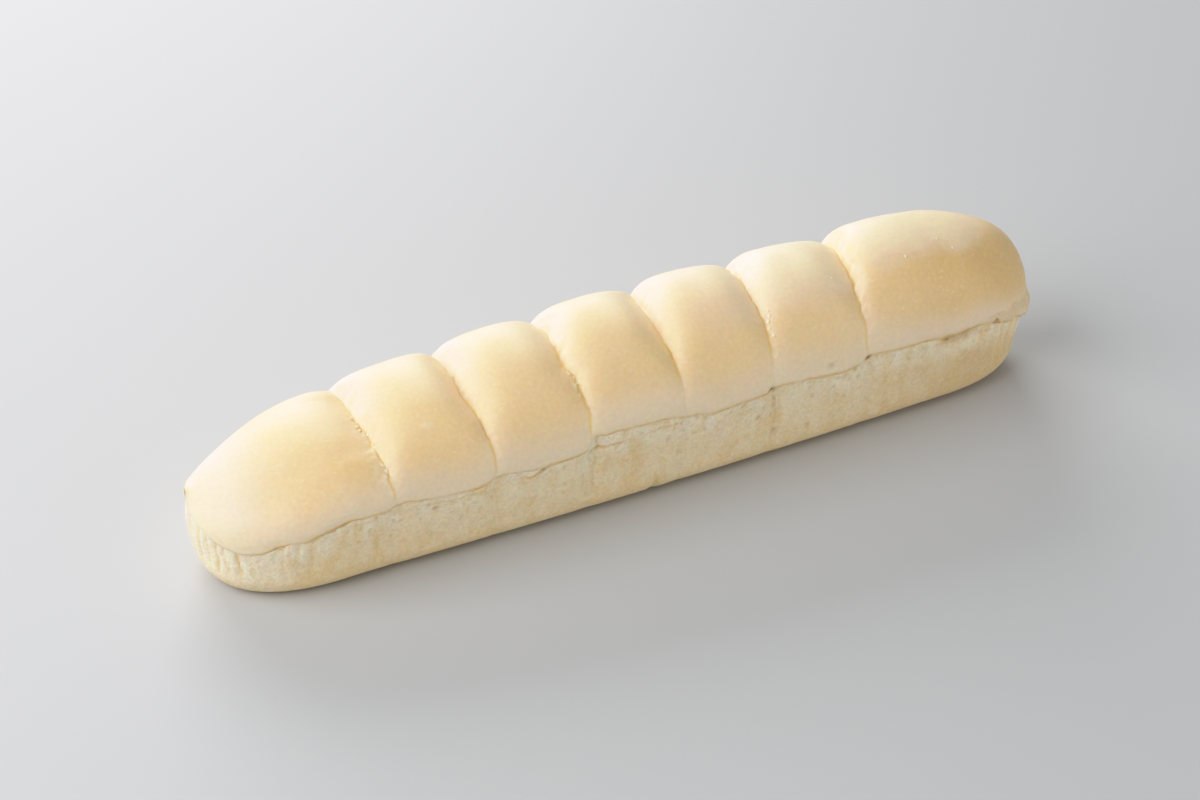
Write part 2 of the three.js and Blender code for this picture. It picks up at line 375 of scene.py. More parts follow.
# %% Open the tear
TEAR_HEIGHT, TEAR_DEPTH = 1.8, 1.2
TEAR_LIMITS, SPLIT_LIMITS = (0.03, 1.4), (0, 2.4)
FAR_TEAR, FAR_TEAR_SWELLS = 0.35, (0.7, 15, 1)
FAR_SPLIT, FAR_SPLIT_SWELLS = -0.1, (1.6, 19, 5)
TEAR_SWELLS, SPLIT_SWELLS = (0.9, 4, 2), (0.8, 4, 6)
SPLIT_SWAY, SPLIT_SHIVER = (0.6, 9, 7), (0.35, 3, 8)
NEAR_TEAR = (  # x, share of the full opening
    (-166, 0), (-156, 0.1), (-149, 0.3), (-145, 0.7), (-140, 0.1), (-135, 0.3), (-133, 0.55), (-128, 0.85),
    (-121, 0.6), (-115, 0.15), (-103, 0.35), (-95, 0.2), (-84, 0.1), (-66, 0.3), (-58, 0.1), (-54, 0.02),
    (-47, 0.02), (-42, 0.3), (-30, 0.3), (-22, 0.35), (-12, 0.25), (2, 0.2), (12, 0.2), (30, 0.25),
    (40, 0.2), (45, 0.6), (51, 0.15), (64, 0.2), (76, 0.35), (86, 0.5), (93, 0.2), (104, 0.3), (112, 0.5),
    (120, 0.9), (131, 0.9), (138, 0.4), (150, 0.3), (165, 0.4),
)
NEAR_SPLIT = (  # x, strength of the second split
    (-120, 0), (-112, 0.5), (-104, 0.15), (-96, 0), (-86, 0.6), (-70, 0.5), (-62, 0), (-53, 0.2), (-51, 2.0),
    (-46, 2.4), (-44, 0.3), (-37, 0), (-29, 0.2), (-27, 1), (-17, 0.9), (-13, 0.1), (-8, 0.1), (-3, 0.5),
    (6, 0.6), (10, 0), (66, 0), (74, 0.4), (80, 0),
)
SPLIT_BELOW = (  # x, how far below the skirt the second split runs
    (-112, 3), (-86, 3), (-72, 2.4), (-64, 2), (-55, 3), (-51, 2.6), (-45.5, 0.9), (-37, 1.2), (-29, 2),
    (-26, 6), (-16, 6.2), (-10, 5.6), (-2, 4.4), (9, 2.5),
)

far_tear = FAR_TEAR + swells(plan_points, *FAR_TEAR_SWELLS)
far_split = FAR_SPLIT + swells(plan_points, *FAR_SPLIT_SWELLS)
openness = blend(far_tear, along_near_side(NEAR_TEAR), near_side)
openness = np.clip(openness * (1 + swells(plan_points, *TEAR_SWELLS)), *TEAR_LIMITS)
split = blend(far_split, along_near_side(NEAR_SPLIT), near_side)
split = np.clip(split * (1 + swells(plan_points, *SPLIT_SWELLS)), *SPLIT_LIMITS)
split_below = along_near_side(SPLIT_BELOW)
split_below += swells(plan_points, *SPLIT_SWAY) + swells(plan_points, *SPLIT_SHIVER)
print("tear opens", (openness * TEAR_HEIGHT).max().round(1), "mm at most")

# %% [markdown]
# ## Rows over the section
# Every column climbs the same way: from the middle of the base to its edge, round the corner, up the
# wall, into the tear, out under the skirt and over the dome to the spine. A row is the same place on
# every column, so each stretch below is worked out for all columns at once.

# %% Climb the section
CORNER = 10.5
GROOVE_DEPTH, GROOVE_WIDTH = 1.0, 3.0  # of the wall below each crease
BASE_ROWS, CORNER_ROWS, WALL_ROWS, TEAR_ROWS, DOME_ROWS = 4, 11, 36, 7, 48
WALL_CROWDING, DOME_CROWDING = 1.4, 1.1  # above 1, rows crowd towards the skirt
LIP_FADE = 4

foot = (reach - passing("inset"))[:, None]
groove = (GROOVE_DEPTH * bell(plan_crease, GROOVE_WIDTH))[:, None]
brow = (reach - passing("overhang") * openness)[:, None] - groove
tear_depth = (TEAR_DEPTH * openness)[:, None]
wall_top = (skirt - TEAR_HEIGHT * openness)[:, None]
skirt_column = skirt[:, None]
lip = (LEFT_END["lip"] * into_left**LIP_FADE + RIGHT_END["lip"] * into_right**LIP_FADE)[:, None]

base_share = np.linspace(0, 1, BASE_ROWS, endpoint=False)
base_radius = (foot - CORNER) * base_share
base_height = np.zeros((column_count, BASE_ROWS))
corner_angle = np.linspace(0, np.pi / 2, CORNER_ROWS)
corner_height = np.tile(CORNER * (1 - np.cos(corner_angle)), (column_count, 1))
corner_radius = foot - CORNER * (1 - np.sin(corner_angle)) - groove * corner_height / CORNER
wall_share = 1 - (1 - np.linspace(0, 1, WALL_ROWS + 1)[1:]) ** WALL_CROWDING
wall_radius = blend(foot - groove, brow, wall_share)
wall_height = blend(CORNER, wall_top, wall_share)
print(BASE_ROWS + CORNER_ROWS + WALL_ROWS + TEAR_ROWS + DOME_ROWS, "rows")

# %% Round the domes
ROLL_UNDER, ROLL_HEIGHT = 0.8, 2.0  # the skirt's edge turns in by this much, over this height
RIPPLE_FADE = 4  # how fast the skirt's ripple dies away up the dome

dome_angle = np.pi / 2 * np.linspace(0, 1, DOME_ROWS) ** DOME_CROWDING
out = reach[:, None] * squarish(np.cos(dome_angle), DOME_POWER)
out[:, -1] = 0
up_to = squarish(np.sin(dome_angle), DOME_POWER)
dome_x = spine_x[:, None] + (plan_x - spine_x)[:, None] * out / reach[:, None]
dome_y = plan_y[:, None] * out / reach[:, None]
dome_crease = closest_crease(dome_x)
crown_depth = CREASES_AT_CROWN[dome_crease]
crown_depth = crown_depth * blend(CREASES_AT_FRONT[dome_crease], 1, ease(dome_y, FRONT_START, FRONT_STOP))
crease_depth = blend(CREASE_AT_SKIRT, crown_depth, np.sin(dome_angle) ** CREASE_FADE)
dip = crease_depth * (1 - fullness(dome_x, ease(dome_angle, math.radians(30), math.radians(62))))
dome_height = blend(plain_skirt[:, None], crown_height(dome_x) - dip, up_to)
dome_height += skirt_ripple[:, None] * (1 - up_to) ** RIPPLE_FADE
roll = ROLL_UNDER * openness[:, None] * bell(dome_height - skirt_column, ROLL_HEIGHT)
dome_radius = out * (1 - CREASE_INWARD * dip / (WIDTH / 2)) + lip * np.cos(dome_angle) ** LIP_FADE - roll
dome_radius[:, -1] = 0

tear_share = np.linspace(0, 1, TEAR_ROWS + 2)[1:-1]
tear_radius = blend(brow, dome_radius[:, :1], tear_share**2) - tear_depth * np.sin(np.pi * tear_share)
tear_height = blend(wall_top, skirt_column, tear_share)

radius = np.hstack([base_radius, corner_radius, wall_radius, tear_radius, dome_radius])
height = np.hstack([base_height, corner_height, wall_height, tear_height, dome_height])
row_count = radius.shape[1]
dome_start = row_count - DOME_ROWS
tear_start = dome_start - TEAR_ROWS
wall_start = tear_start - WALL_ROWS
corner_start = wall_start - CORNER_ROWS
print("crown", height.max().round(1), "mm high")

# %% [markdown]
# ## Creases that wander
# A crease is where two skins were pressed together, so it is never a straight cut. Near each crease the
# columns are moved along the loaf: a slant towards the back, a slow sway and a fine shiver, and a few
# kinks where the picture shows them. Because the columns themselves move, the bottom of a crease stays on
# its column and keeps its shape.

# %% Let the creases drift
WANDER, WANDER_WAVE, WANDER_TURN = 0.7, 9, 1.4
SHIVERS = (0.9, 0.6, 0.8, 0.45, 0.6, 0.7)  # of the creases in turn
SHIVER, FINE_SHIVER = (1, 4, 11), (0.5, 4 / 3, 12)
DRIFT_REACH, KINK_REACH, SHIVER_REACH = 12, 8, 4
FAINTEST, FLAT_BASE = 0.01, 0.1  # weaker shivers and lower points are left alone
KINKS = (  # crease, y, z, how far to the right, over which length
    (0, -30, 36, 1.0, 6), (0, 26, 44, -1.6, 8), (1, -19, 50, -1.4, 9), (1, -30, 38, 0.6, 5),
    (1, -6, 52, -1.6, 9), (2, 12, 56, 1.2, 6), (2, -17, 53, 0.9, 3), (2, -26, 45, -0.6, 4),
    (2, -12, 56, -1.8, 10), (4, 5, 60, 0.4, 5), (4, -17, 54, 0.5, 3), (4, -30, 36, -0.8, 6),
    (5, 10, 60, 1.2, 8), (5, -20, 54, -1.8, 9),
)

grid_x = spine_x[:, None] + ((plan_x - spine_x) / reach)[:, None] * radius
grid_y = (plan_y / reach)[:, None] * radius
towards_back = ((1 + grid_y / half_width(grid_x)) / 2) ** 2
drift = np.zeros_like(grid_x)
for number, crease in enumerate(creases):
    sway = WANDER * np.sin(height / WANDER_WAVE + WANDER_TURN * number)
    drift += bell(grid_x - crease, DRIFT_REACH) * (CREASE_SLANTS[number] * towards_back + sway)
    close = bell(grid_x - crease, SHIVER_REACH)
    felt = close.ravel() > FAINTEST
    line = np.column_stack([np.full(grid_y.size, crease), grid_y.ravel(), height.ravel()])[felt]
    shiver = np.zeros(grid_y.size)
    shiver[felt] = swells(line, *SHIVER) + swells(line, *FINE_SHIVER)
    drift += SHIVERS[number] * close * shiver.reshape(grid_y.shape) * (height > FLAT_BASE)
for number, kink_y, kink_z, shift, length in KINKS:
    at_kink = np.exp(-((grid_y - kink_y) ** 2 + (height - kink_z) ** 2) / length**2)
    drift += shift * bell(grid_x - creases[number], KINK_REACH) * at_kink
places = np.stack([grid_x + drift, grid_y, height], axis=-1)
print("creases drift up to", np.abs(drift).max().round(2), "mm")

# %% [markdown]
# ## From grid to mesh
# Neighbouring columns are joined by four-sided faces. The front and the back meet on the spine and on
# the middle line of the base, and the columns of an end meet in one point, so points that coincide are
# welded first. That leaves one closed skin with no seam.

# %% Weld the grid and make the loaf
WELD_DECIMALS = 3  # points that agree to a thousandth of a millimetre are one

grid_points = places.reshape(-1, 3)
rounded = np.round(grid_points, WELD_DECIMALS) + 0.0  # adding zero turns -0 into 0
_, kept, weld = np.unique(rounded, axis=0, return_index=True, return_inverse=True)
weld = weld.reshape(column_count, row_count)
here, after = weld, np.roll(weld, -1, axis=0)
quads = np.stack([here[:, :-1], after[:, :-1], after[:, 1:], here[:, 1:]], axis=-1).reshape(-1, 4)
faces = [list(dict.fromkeys(quad)) for quad in quads.tolist()]
faces = [face for face in faces if len(face) > 2]
loaf = add_mesh("loaf_skin", grid_points[kept].tolist(), faces)
loaf_mesh = loaf.data
print(len(kept), "points,", sum(len(face) - 2 for face in faces), "triangles")

# %% [markdown]
# ## Relief of the baked surface
# The domes are smooth but not perfect: they swell and dip a little, and their skin has the faint dimples
# of a soft crust. Beside a crease the skin was pulled thin and is rougher. The wall was never pressed
# against a tin and tore as it rose, so it is lumpy, pulled into upright streaks, pleated round the ends
# and pitted. All of it is real height, moved along the normals of the skin, so it shows in the outline
# and in every light.


# %% Read the zones back for every point
def point_normals():
    flat = np.empty(len(kept) * 3)
    loaf_mesh.vertex_normals.foreach_get("vector", flat)
    return flat.reshape(-1, 3)


def skin_swells(swing, width, seed, pull=(1, 1, 1)):
    """Swells at each point of the skin; a small number in pull draws them out along that axis."""
    return swells(skin_points * pull, swing, width, seed)


row_number = np.tile(np.arange(row_count), (column_count, 1)).ravel()[kept]
column_number = np.repeat(np.arange(column_count), row_count)[kept]
skin_points = grid_points[kept]
point_x, point_y, point_z = skin_points.T
straight_x = grid_x.ravel()[kept]
above_skirt = point_z - skirt[column_number]
seen = near_side[column_number]
on_dome = ease(row_number, dome_start - 1, dome_start + 1)
on_wall = ease(row_number, corner_start + 3, wall_start + 2)
on_wall *= 1 - ease(row_number, tear_start - 2, tear_start + 2)
left_share, right_share = into_left[column_number], into_right[column_number]
nearest_crease = closest_crease(straight_x)
past_crease = straight_x - creases[nearest_crease]
normals = point_normals()
print(int(on_dome.sum()), "points on the domes,", int(on_wall.sum()), "on the wall")

# %% Swell and pull the domes
UNDULATION = (0.4, 26, 22)
DIMPLES = (0.06, 3.2, 23)
PULLS = np.array([0.5, 0.6, 1.0, 0.5, 0.8, 0.9])  # how rough the skin is to the right of each crease
PULL_REACH = 4.5
PULL_MEAN, PULL_PATCHES = 0.6, (1, 5, 20)
PULL_ROUGHNESS = (0.4, 2.2, 27)

pulled = bell(past_crease, PULL_REACH) * (past_crease > 0) * PULLS[nearest_crease]
pulled *= on_dome * np.clip(PULL_MEAN + skin_swells(*PULL_PATCHES), 0, 1)
dome_relief = skin_swells(*UNDULATION) + skin_swells(*DIMPLES) + pulled * skin_swells(*PULL_ROUGHNESS)
dome_relief *= on_dome * ease(above_skirt, 0, 6)
print("domes swell by", np.abs(dome_relief).max().round(2), "mm")

# %% Break the skin beside the creases
BROKEN = (  # crease, from and to how far past it, from and to which height, how much
    (0, -4, 0.2, 42, 58, 1.0), (0, -2, 0.4, 37, 42, 0.6), (1, 0.3, 2.5, 40, 52, 0.4),
    (2, -1.6, 0.4, 50, 56, 0.9), (2, 0.2, 2, 40, 50, 0.5), (4, 0, 3, 44, 56, 0.7), (5, 0, 3, 46, 60, 0.5),
)
PAST_BLUR, HEIGHT_BLUR = 0.8, 2
BROKEN_HEIGHT = 0.45
CRUMBLING, CRUMBLING_PATCHES = (1, 1.6, 39), (0.5, 4, 40)
SOFT_SPECKS = ((-85.5, -20, 54), (-83.6, -20.6, 53.7), (-117, -21.7, 49), (-48, -1, 62))
SPOT_STRENGTH = 0.9


def within(values, start, stop, blur):
    """1 from start to stop, 0 outside, with blurred edges."""
    return ease(values, start - blur, start + blur) * (1 - ease(values, stop - blur, stop + blur))


def with_spots(values, spots):
    """The values, raised to nearly 1 in round spots of about a millimetre."""
    for spot in spots:
        values = np.maximum(values, SPOT_STRENGTH * np.exp(-((skin_points - spot) ** 2).sum(axis=1)))
    return values


broken = np.zeros(len(kept))
for number, start, stop, low, high, amount in BROKEN:
    band = within(past_crease, start, stop, PAST_BLUR) * within(point_z, low, high, HEIGHT_BLUR)
    broken += amount * band * (nearest_crease == number) * seen
crumbling = skin_swells(*CRUMBLING) + skin_swells(*CRUMBLING_PATCHES)
broken *= on_dome * ease(crumbling, 0, 0.45)
broken = with_spots(broken, SOFT_SPECKS)
dome_relief += BROKEN_HEIGHT * broken
print(int((broken > 0.3).sum()), "points on broken skin")

# %% Tear a flap at the right end
FLAP_RISE = 7.5  # how far the flap reaches above the skirt
FLAP_EDGE, FLAP_TATTERS = (2, 5, 34), (1, 2, 37)
FLAP_THICKNESS, FLAP_LUMPS = 1.4, (0.8, 3.5, 35)
FLAP_RIM, FLAP_RIM_WIDTH = 0.4, 0.7  # a shallow line along its edge

flap_edge = FLAP_RISE * ease(right_share, 0.1, 0.85) * ease(-point_y, -12, 6)
flap_edge += skin_swells(*FLAP_EDGE) + skin_swells(*FLAP_TATTERS)
below_edge = flap_edge - above_skirt
on_flap = on_dome * ease(right_share, 0.1, 0.3) * ease(-point_y, -12, 2)
flap = on_flap * ease(below_edge, -0.2, 0.6)
flap_rim = on_flap * bell(below_edge, FLAP_RIM_WIDTH)
flap_thickness = FLAP_THICKNESS * ease(right_share, 0.3, 0.8) + skin_swells(*FLAP_LUMPS)
flap_thickness *= ease(below_edge, 0, 5)
dome_relief += flap * flap_thickness - FLAP_RIM * flap_rim
print("flap is", (flap * flap_thickness).max().round(2), "mm thick at most")

# %% Pleat and groove the wall
PLEAT, PLEAT_STEP = 0.7, 6.0
PLEAT_GAP, PLEAT_SHARPNESS = 0.35, 1.3
LEANING = (1, 1, 0.6)  # draws swells out along z
PLEAT_SWAY = (5, 11, 21, LEANING)
PLEAT_MEAN, PLEAT_LEAST, PLEAT_SWELLS = 0.5, 0.05, (1.6, 6, 28, LEANING)
LEFT_PLEATS = 0.5  # those of the left end are shallower
GROOVES = (  # x and y in the plan, width, depth
    (-165.5, 1, 0.8, 0.6), (-164.2, -5, 0.7, 0.8), (-162.8, -9.5, 0.8, 0.6), (-161.2, -13, 0.8, 1.0),
    (-159.2, -16, 0.7, 0.7), (-156.1, -19.8, 0.8, 1.0), (-152.5, -22.5, 0.7, 0.6), (-133.6, -29.6, 1.0, 0.8),
    (-116.7, -30.5, 0.8, 0.6), (-109.1, -30.5, 0.9, 0.9), (-25.5, -29.7, 0.7, 0.6), (40, -28.7, 0.7, 0.4),
    (46.5, -28, 0.6, 0.7), (48.5, -28, 0.5, 0.4), (145.8, -21, 0.9, 0.8), (149.5, -19.4, 0.7, 0.6),
    (155.7, -14.3, 0.9, 0.9),
)
GROOVE_SWAY = (0.9, 6, 29)
GROOVE_MEAN, GROOVE_LEAST, GROOVE_SWELLS = 0.8, 0.2, (1, 8, 38)

round_left = np.arctan2(point_y, spine_left - point_x) * LEFT_END["length"]
round_right = np.arctan2(point_y, point_x - spine_right) * RIGHT_END["length"]
pleat_sway = skin_swells(*PLEAT_SWAY)
pleat_depth = np.clip(PLEAT_MEAN + skin_swells(*PLEAT_SWELLS), PLEAT_LEAST, 1)


def pleats(way, share):
    """Narrow furrows side by side, of uneven depth: 0 between them and up to 1 in them."""
    wave = np.sin(2 * np.pi * way / PLEAT_STEP + pleat_sway)
    furrow = np.clip((wave - PLEAT_GAP) / (1 - PLEAT_GAP), 0, 1) ** PLEAT_SHARPNESS
    return furrow * ease(share, 0.25, 0.55) * pleat_depth


furrows = LEFT_PLEATS * pleats(round_left, left_share) + pleats(round_right, right_share)
plan_way = path_lengths(plan_x, plan_y)
swaying_way = plan_way[column_number] + skin_swells(*GROOVE_SWAY)
groove_share = np.clip(GROOVE_MEAN + skin_swells(*GROOVE_SWELLS), GROOVE_LEAST, 1)
for groove_x, groove_y, width, depth in GROOVES:
    groove_way = plan_way[np.argmin(np.hypot(plan_x - groove_x, plan_y - groove_y))]
    furrows = np.maximum(furrows, depth * groove_share * bell(swaying_way - groove_way, width))
furrows *= on_wall * ease(point_z, 5, 13)
print(int((furrows > 0.3).sum()), "points in furrows")

# %% Crumble the wall
LUMPS = (0.4, 9, 25)
STREAKS = (0.2, 2.6, 26, (1, 1, 0.2))
FIBRE, FIBRES = 0.5, (1, 1.7, 36, (1, 1, 0.35))
PIT, PIT_EDGE, PITS = 1.0, 0.24, (1, 1.9, 24)
PITS_LOW, PITS_LOST = 0.35, 0.8  # fewer pits far below the skirt, and few round the left end
SPOTS = ((61.8, -27.2, 12.8), (40.8, -28.7, 23.3), (48.1, -27, 14.2), (-70, -30, 20), (9, -29, 12))
SPLIT_DEPTH, SPLIT_WIDTH = 1.1, 0.5
SPLIT_THIN, SPLIT_WIDENS = 0.7, 0.4  # a stronger split is wider
SPLIT_BROW, BROW_ABOVE, BROW_WIDTH = 0.35, 1.1, 0.9  # the swollen edge over a split

pits = np.clip(skin_swells(*PITS) - PIT_EDGE, 0, 1)
pits *= blend(PITS_LOW, 1, ease(above_skirt, -20, -6))
pits = with_spots(pits, SPOTS)
pits *= 1 - PITS_LOST * ease(left_share, 0, 0.5)
fibres = skin_swells(*FIBRES) * ease(above_skirt, -11, -2)
split_here = split[column_number]
below_split = -above_skirt - split_below[column_number]
split_width = SPLIT_WIDTH * (SPLIT_THIN + SPLIT_WIDENS * split_here)
in_split = bell(below_split, split_width) * split_here * on_wall
over_split = bell(below_split + BROW_ABOVE, BROW_WIDTH) * split_here * on_wall
wall_relief = skin_swells(*LUMPS) + skin_swells(*STREAKS) + FIBRE * fibres - PIT * pits - PLEAT * furrows
wall_relief = wall_relief * on_wall - SPLIT_DEPTH * in_split + SPLIT_BROW * over_split
print("wall relief down to", wall_relief.min().round(2), "mm")

# %% Add the single accidents and raise it all
ACCIDENTS = (  # centre, spread along x, y and z, height
    ((69.8, -29.4, 37.6), (1.2, 3, 1.0), -1.5),  # a hole in the sixth skirt
    ((45.6, -30, 34), (1.2, 3, 1.5), -1.2),  # a pit where the fifth crease runs out
    ((86, -28.5, 35.5), (1.3, 3, 1.4), -1.0),  # and one under the sixth crease
    ((126, -26, 30.5), (9, 5, 2.4), -1.7),  # a hollow under the last skirt
    ((-163, 9, 30.5), (3, 4, 1.6), 0.8),  # a small bump at the left tip
    ((-166, 6, 20), (8, 14, 9), 1.6),  # the wall bulges below it
    ((-0.2, -28, 5), (1.5, 5, 4), -1.3),  # a pinch in the foot
    ((142.3, -24, 32.4), (1.1, 3, 1.1), -1.2),  # a hole where the last skirt turns into the flap
    ((156, 2, 52), (10, 14, 9), 1.0),  # a full shoulder at the right end
    ((148, -6, 58), (7, 9, 7), 0.9),  # and above it
    ((1, -2, 66), (6, 12, 7), 0.5),  # the right shoulder of the fourth bun
    ((38, -2, 67), (6, 12, 7), 0.6),  # of the fifth
    ((76, -2, 67), (6, 12, 7), 0.7),  # and of the sixth
)

relief = dome_relief + wall_relief
for centre, spread, rise in ACCIDENTS:
    away = (skin_points - centre) / spread
    relief += rise * np.exp(-(away**2).sum(axis=1))
skin_points = skin_points + normals * relief[:, None]
skin_points[:, 2] = np.maximum(skin_points[:, 2], 0)
point_x, point_y, point_z = skin_points.T
loaf_mesh.vertices.foreach_set("co", (skin_points * MM).ravel())
loaf_mesh.update()
print("relief from", relief.min().round(2), "to", relief.max().round(2), "mm")

# %% [markdown]
# ## Where the colours lie
# Colour follows the baking. The crowns face the heat and turn tan, most of all towards the right, while
# the flanks beside the creases and the skirt stay cream. The wall stays pale crumb, yellower at its foot,
# and the underside browns on the tray. Some colour is painted light and shade. The tops of the right
# buns, the right shoulders near the crowns and the left flanks over the crowns are painted paler as
# highlight. A golden line in each crease and one along the seam are painted warm shade. The tear is gold,
# and the same gold is painted as warm shade in the split below it and in the hollow under the last skirt;
# these and the holes are painted dark as well, as shade. The wall's pits and furrows are painted browner
# as shade. Each of these is stored as a number on every point of the mesh, which a material can read and
# any exporter can bake. Where a colour sets in is a share of the loaf's length, a place across it or a
# height against the skirt.

# %% Tan the domes and paint highlight on them
TOP_EDGE_SWAY = (0.05, 5, 42, (0.5, 1, 1))

dome_up = np.clip(np.sin(np.interp(row_number, np.arange(dome_start, row_count), dome_angle)), 0, 1)
place = place_in_bun(straight_x)
along = (straight_x + half_length) / (2 * half_length)
to_last_bun = ease(along, 0.7, 0.78)
near_flank = blend(0.65, 0.1, ease(along, 0.74, 0.78))
far_flank = blend(0.25, 0.6, to_last_bun)
flank_tan = blend(near_flank, far_flank, ease(point_y, -22, 2))
left_flank = blend(flank_tan, 1, ease(1 + place, 0, 0.5))
right_flank = 1 - 0.2 * ease(place, 0.75, 1)

# The tops, most of all those of the right buns, are painted paler and less tan as highlight.
top_edge = dome_up + skin_swells(*TOP_EDGE_SWAY)
painted_light_from = blend(0.6, 0.74, ease(along, 0.74, 0.8))
painted_top_light = blend(0.15, 1.0, ease(along, 0.5, 0.7)) * ease(top_edge, painted_light_from, 1.0)
painted_top_light *= blend(1, ease(1 + place, 0, 0.9), to_last_bun)
crown_tan = ease(above_skirt, 2, 17) * left_flank * right_flank * (1 - painted_top_light)
less_on_first_bun = blend(0.45, 1.0, ease(along, 0, 0.16))
deep_at_ends = ease(along, 0.74, 0.9) + 0.35 * (1 - ease(along, 0.14, 0.24))

last_bun_left = ease(along, 0.75, 0.8) * (1 - ease(along, 0.87, 0.92))
painted_top_highlight = painted_top_light * ease(top_edge, 0.7, 1) * ease(along, 0.45, 0.75)
painted_top_highlight *= blend(1, ease(top_edge, 0.85, 1), last_bun_left)
# The right shoulders near the crowns are painted paler as highlight.
painted_shoulder_highlight = ease(place, -0.3, 0.5) * ease(point_y, -17, 2) * blend(0.4, 1, ease(along, 0.3, 0.45))
painted_shoulder_highlight *= blend(0.8, 1, ease(along, 0.5, 0.6))
# The left flanks over the crowns are painted whiter as highlight.
painted_flank_highlight = (1 - ease(1 + place, 0.1, 0.7)) * ease(point_y, -8, 8) * (1 - ease(along, 0.55, 0.7))
pale_skirt = (1 - ease(above_skirt, 0, 18)) * (1 - 0.5 * ease(along, 0.76, 0.86))
unbaked = (1 - ease(along, 0, 0.1)) * ease(above_skirt, 0, 12)
print("domes are tan by", crown_tan[on_dome > 0.9].mean().round(2), "on average")

# %% Paint shade in the creases, the tear and the wall, and stain the wall
CREASE_LINE = 0.5  # half the width of the golden line
LINE_LEFT = 0.3  # the line lies on the left wall of its crease
LINE_MEAN, LINE_SWELLS = 0.9, (0.4, 5, 31)
RUN_OUTS = np.array([0.1, 0.05, 0.1, 0.45, 0.35, 0.1])  # how far up the dome each line fades out
WEAK_BEHIND, WEAK_CREASES = 0.7, 4  # the first four lines weaken behind the crown
STAIN, STAIN_EDGE, STAIN_SWELLS = 0.35, 0.3, (2, 9, 32, (1, 1, 0.5))
# The wall turns tanner towards the right end.
WALL_TAN_TO_RIGHT = 0.8
NEAR_STAINS_AND_SHADE = (  # x, width, strength
    (94.7, 2.4, 0.8), (101, 1.8, 0.7), (-9.5, 4, 0.9), (44, 5, 0.5), (-124, 8, 0.6), (-108, 5, 0.4),
    # painted shade in the hollow under the last skirt
    (128, 12, 0.5),
)
HOLLOW_X, HOLLOW_LENGTH, HOLLOW_BELOW, HOLLOW_TALL = 126, 8, 2.8, 2  # shade in the last skirt's hollow
# A golden line just below the skirt is painted as the seam's warm shade.
SEAM_BELOW, SEAM_WIDTH = 0.2, 0.6
# The split, the hollow and the holes are painted dark as shade.
HOLLOW_DARK_SHADE = 0.25
HOLES = ((69.8, -29.4, 37.6), (45.6, -29, 34), (86, -28, 35.5))  # dark ones

# The golden line on the left wall of each crease is painted warm shade.
run_out = RUN_OUTS[nearest_crease]
line_fades = ease(dome_up, run_out - 0.1, run_out + 0.12)
line_fades *= 1 - WEAK_BEHIND * ease(point_y, -4, 14) * (nearest_crease < WEAK_CREASES)
painted_crease_shade = bell(past_crease + LINE_LEFT, CREASE_LINE) * line_fades
painted_crease_shade *= LINE_MEAN + skin_swells(*LINE_SWELLS)

stains_and_shade = STAIN * np.clip(skin_swells(*STAIN_SWELLS) - STAIN_EDGE, 0, 1)
stains_and_shade += WALL_TAN_TO_RIGHT * ease(along, 0.82, 0.94)
for station, width, amount in NEAR_STAINS_AND_SHADE:
    stains_and_shade += amount * seen * bell(point_x - station, width)

opening = openness[column_number]
in_tear = ease(row_number, tear_start - 1, tear_start + 2)
in_tear *= 1 - ease(row_number, dome_start - 2, dome_start + 1)
hollow = bell(point_x - HOLLOW_X, HOLLOW_LENGTH) * bell(above_skirt + HOLLOW_BELOW, HOLLOW_TALL)
hollow *= seen * on_wall
painted_seam_shade = bell(above_skirt + SEAM_BELOW, SEAM_WIDTH) * ease(opening, 0.05, 0.25)
# The tear is gold, and the same gold is painted as warm shade along the seam, in the split and in the hollow.
tear = np.maximum(in_tear * ease(opening, 0.02, 0.4), painted_seam_shade) + in_split + hollow
painted_gash_shade = with_spots(np.maximum(ease(in_split, 0.9, 2.0), HOLLOW_DARK_SHADE * hollow), HOLES)
print(int((tear > 0.5).sum()), "golden points,", int((painted_gash_shade > 0.5).sum()), "dark ones")

# %% Store the baking and the painted light and shade on the mesh
TORN_MEAN, TORN_FIBRE, TORN_SWELLS = 0.55, 0.7, (1.3, 5, 33, LEANING)
TORN_FLAP, TAN_FLAP = 0.35, 0.5
# The pits are painted browner as shade.
END_TAN, PAINTED_PIT_SHADE = 0.62, 1.1
UNDERSIDE_ROWS = 4  # rows of the corner over which the tray's brown fades

torn = TORN_MEAN + skin_swells(*TORN_SWELLS) + TORN_FIBRE * fibres
torn = np.maximum(ease(above_skirt, -15, -2) * torn, ease(left_share, 0.4, 0.8))
end_tan = END_TAN * (1 - on_dome) * ease(along, 0.68, 0.96) * (1 - ease(above_skirt, -16, -4))
baking_and_painted_light = {
    "crown_tan": on_dome * crown_tan * less_on_first_bun,
    "deep_tan": on_dome * crown_tan * deep_at_ends,
    "painted_top_highlight": on_dome * np.maximum(painted_top_highlight, painted_shoulder_highlight),
    "painted_flank_highlight": on_dome * painted_flank_highlight,
    "pulled": pulled * ease(point_y, -22, 0),
    "broken": broken,
    "skirt_pale": on_dome * pale_skirt,
    "unbaked": on_dome * unbaked,
    "crumb": np.maximum(1 - on_dome, flap),
    "painted_crease_shade": on_dome * painted_crease_shade,
    "tear": tear,
    "painted_gash_shade": painted_gash_shade,
    "foot_tan": 1 - ease(point_z, 2, 15),
    "stains_and_shade": stains_and_shade,
    "torn": on_wall * torn + TORN_FLAP * flap,
    # The furrows' colour is painted shade.
    "furrows": furrows,
    "pits": PAINTED_PIT_SHADE * pits * on_wall,
    "end_tan": end_tan + TAN_FLAP * flap,
    "underside": 1 - ease(row_number, BASE_ROWS, BASE_ROWS + UNDERSIDE_ROWS),
}
